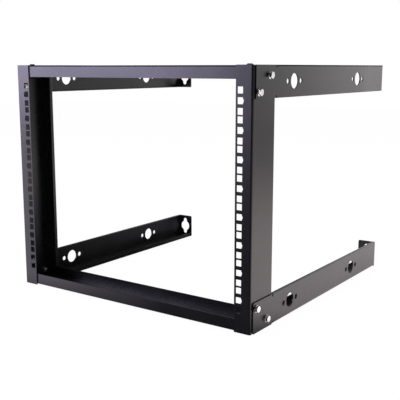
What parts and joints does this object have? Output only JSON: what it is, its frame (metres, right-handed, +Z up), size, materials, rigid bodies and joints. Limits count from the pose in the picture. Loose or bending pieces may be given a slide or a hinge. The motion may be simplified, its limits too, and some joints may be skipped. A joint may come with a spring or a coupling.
{
  "type": "open frame wall mount rack",
  "caption": "Open wall mount rack for 19 inch equipment: two folded posts with square holes, two channel crossbars and arms that reach back to slotted wall plates.",
  "frame": {"origin": "centre of the frame's footprint, at the level of the lowest screw heads", "axes": "+Z up; +Y from the equipment side back to the wall; +X to the right when facing the wall from the equipment side"},
  "size_m": [0.5252, 0.508, 0.4214],
  "materials": {
    "black_powder_coat": "satin black powder coat on folded steel sheet",
    "black_oxide_screw": "black oxide on low-head screws",
    "zinc_fastener": "bright zinc plate"
  },
  "bodies": {
    "root": {"bottom_crossbar": "black_powder_coat", "left_lower_arm": "black_powder_coat", "left_lower_crossbar_nut": "zinc_fastener", "left_lower_crossbar_screw": "black_oxide_screw", "left_lower_front_bolt": "zinc_fastener", "left_lower_front_nut": "zinc_fastener", "left_lower_rear_bolt": "zinc_fastener", "left_lower_rear_nut": "zinc_fastener", "left_post": "black_powder_coat", "left_upper_arm": "black_powder_coat", "left_upper_crossbar_nut": "zinc_fastener", "left_upper_crossbar_screw": "black_oxide_screw", "left_upper_front_bolt": "zinc_fastener", "left_upper_front_nut": "zinc_fastener", "left_upper_rear_bolt": "zinc_fastener", "left_upper_rear_nut": "zinc_fastener", "right_lower_arm": "black_powder_coat", "right_lower_crossbar_nut": "zinc_fastener", "right_lower_crossbar_screw": "black_oxide_screw", "right_lower_front_bolt": "zinc_fastener", "right_lower_front_nut": "zinc_fastener", "right_lower_rear_bolt": "zinc_fastener", "right_lower_rear_nut": "zinc_fastener", "right_post": "black_powder_coat", "right_upper_arm": "black_powder_coat", "right_upper_crossbar_nut": "zinc_fastener", "right_upper_crossbar_screw": "black_oxide_screw", "right_upper_front_bolt": "zinc_fastener", "right_upper_front_nut": "zinc_fastener", "right_upper_rear_bolt": "zinc_fastener", "right_upper_rear_nut": "zinc_fastener", "top_crossbar": "black_powder_coat"}
  },
  "joints": []
}
